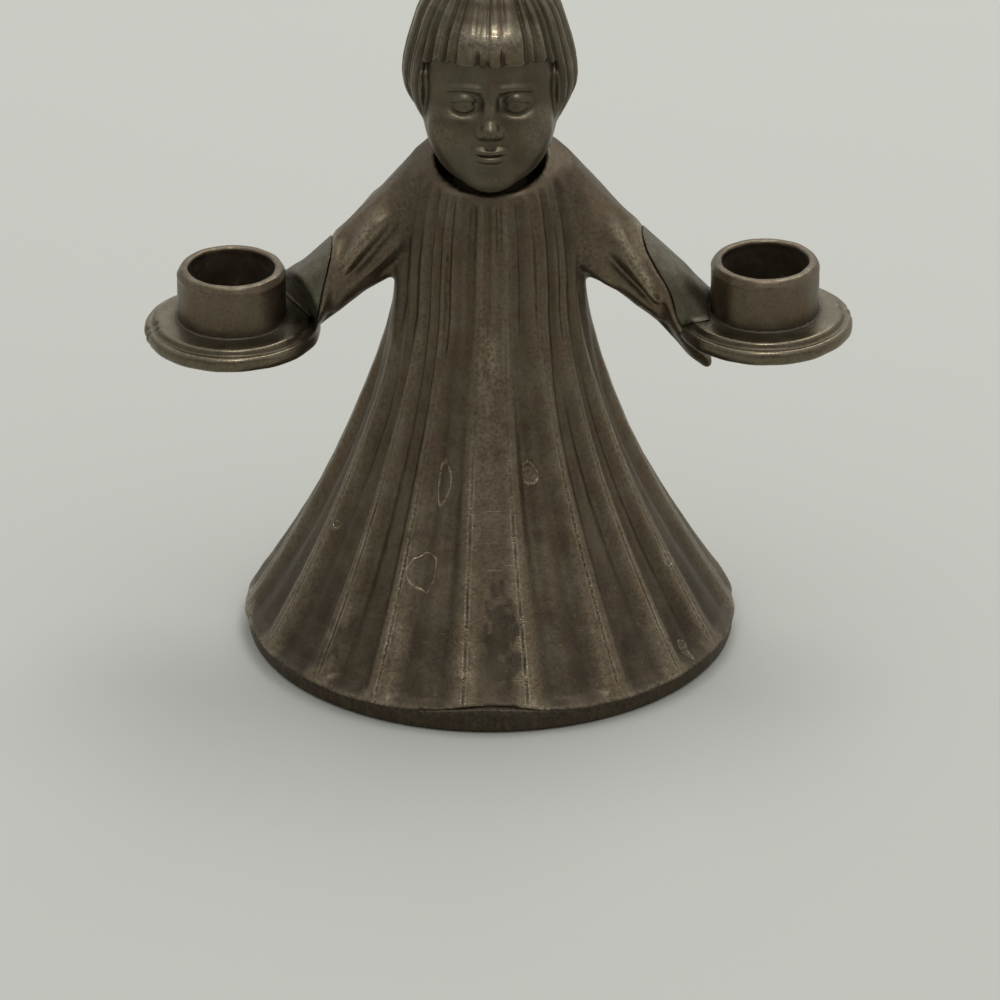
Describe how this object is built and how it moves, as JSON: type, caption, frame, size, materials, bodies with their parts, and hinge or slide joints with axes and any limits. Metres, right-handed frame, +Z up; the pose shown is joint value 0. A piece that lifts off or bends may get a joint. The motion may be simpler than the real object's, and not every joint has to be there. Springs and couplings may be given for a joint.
{
  "type": "figural candle holder",
  "caption": "Cast pewter choir boy with a pleated hollow robe and outstretched arms; each hand carries a stepped drip pan with a short candle cup.",
  "frame": {"origin": "centre of the base plate's flat underside", "axes": "+Z up through the figure, -Y the way the figure faces, +X to the right of a viewer who faces the figure"},
  "size_m": [0.0771, 0.054, 0.0795],
  "materials": {
    "robe_pewter": "aged pewter, brown tarnish with bright worn ridges",
    "base_pewter": "dark tarnished pewter",
    "head_pewter": "aged pewter, brown tarnish, satin",
    "hand_pewter": "grey filed pewter",
    "pan_pewter": "turned pewter, brown tarnish",
    "cup_pewter": "turned pewter, brown tarnish",
    "solder": "grey soft solder"
  },
  "bodies": {
    "root": {"robe_front": "robe_pewter", "robe_back": "robe_pewter", "base_plate": "base_pewter", "base_solder": "solder", "head": "head_pewter", "neck_solder": "solder", "left_hand": "hand_pewter", "right_hand": "hand_pewter", "left_drip_pan": "pan_pewter", "right_drip_pan": "pan_pewter", "left_candle_cup": "cup_pewter", "right_candle_cup": "cup_pewter", "left_cup_solder": "solder", "right_cup_solder": "solder"}
  },
  "joints": []
}
